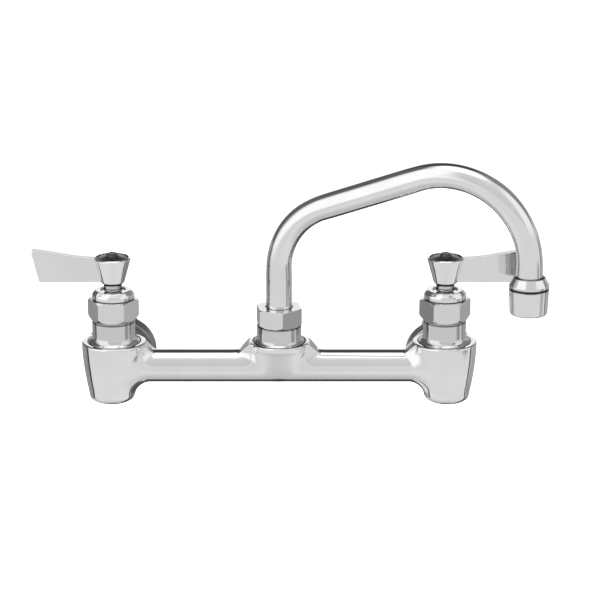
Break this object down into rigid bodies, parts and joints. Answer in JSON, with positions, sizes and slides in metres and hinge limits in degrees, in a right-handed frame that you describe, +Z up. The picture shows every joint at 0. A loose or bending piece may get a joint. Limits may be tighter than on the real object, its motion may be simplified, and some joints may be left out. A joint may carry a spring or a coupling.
{
  "type": "wall faucet",
  "caption": "Wall-mounted mixing faucet in polished chrome: tapered valve bodies on a cross tube, paddle lever handles and a swing spout with an aerator.",
  "frame": {"origin": "on the wall surface, midway between the two inlet axes", "axes": "+X from the hot inlet to the cold inlet, +Y into the wall, +Z up along the valve stems"},
  "size_m": [0.3111, 0.1359, 0.1594],
  "materials": {
    "chrome": "polished",
    "raw_brass": "machined",
    "steel": "machined",
    "black_rubber": "matte",
    "fibre": "matte",
    "cap_grey": "satin",
    "insert_plastic": "matte"
  },
  "bodies": {
    "root": {"faucet_body": "chrome", "hot_wall_flange": "chrome", "hot_flange_gasket": "black_rubber", "hot_inlet_shank": "steel", "hot_shank_washer": "steel", "hot_shank_locknut": "steel", "hot_valve_seat": "raw_brass", "hot_bonnet_gasket": "fibre", "hot_bonnet": "chrome", "hot_bonnet_nut": "chrome", "hot_stem_gland": "chrome", "hot_stem_packing": "fibre", "cold_wall_flange": "chrome", "cold_flange_gasket": "black_rubber", "cold_inlet_shank": "steel", "cold_shank_washer": "steel", "cold_shank_locknut": "steel", "cold_valve_seat": "raw_brass", "cold_bonnet_gasket": "fibre", "cold_bonnet": "chrome", "cold_bonnet_nut": "chrome", "cold_stem_gland": "chrome", "cold_stem_packing": "fibre", "spout_adapter": "chrome", "adapter_gasket": "fibre", "spout_nut": "chrome"},
    "hot_disc": {"hot_disc_holder": "raw_brass", "hot_seat_washer": "black_rubber", "hot_seat_washer_screw": "steel"},
    "cold_disc": {"cold_disc_holder": "raw_brass", "cold_seat_washer": "black_rubber", "cold_seat_washer_screw": "steel"},
    "hot_handle": {"hot_stem": "steel", "hot_stem_o_ring": "black_rubber", "hot_lever_handle": "chrome", "hot_handle_screw": "steel", "hot_index_cap": "cap_grey"},
    "cold_handle": {"cold_stem": "steel", "cold_stem_o_ring": "black_rubber", "cold_lever_handle": "chrome", "cold_handle_screw": "steel", "cold_index_cap": "cap_grey"},
    "spout": {"spout_tube": "chrome", "spout_ferrule": "chrome", "ferrule_o_rings": "black_rubber", "spout_retaining_ring": "raw_brass", "aerator_collar": "chrome", "aerator_washer": "black_rubber", "aerator_housing": "chrome", "aerator_insert": "insert_plastic", "aerator_screen": "steel"}
  },
  "joints": [
    {"name": "hot_lift", "type": "slide", "parent": "root", "child": "hot_disc", "axis": [0, 0, 1], "range_m": [0, 0.00183]},
    {"name": "hot_turn", "type": "hinge", "parent": "hot_disc", "child": "hot_handle", "pos_m": [-0.1016, -0.0286, 0], "axis": [0, 0, 1], "range_deg": [0, 110]},
    {"name": "cold_lift", "type": "slide", "parent": "root", "child": "cold_disc", "axis": [0, 0, 1], "range_m": [0, 0.00183]},
    {"name": "cold_turn", "type": "hinge", "parent": "cold_disc", "child": "cold_handle", "pos_m": [0.1016, -0.0286, 0], "axis": [0, 0, 1], "range_deg": [-110, 0]},
    {"name": "spout_swivel", "type": "hinge", "parent": "root", "child": "spout", "pos_m": [0, -0.0286, 0], "axis": [0, 0, 1], "range_deg": [-156, 10]}
  ],
  "couplings": [
    {"joint": "hot_turn", "follows": "hot_lift", "rad_per_m": 1047.2},
    {"joint": "cold_turn", "follows": "cold_lift", "rad_per_m": -1047.2}
  ]
}
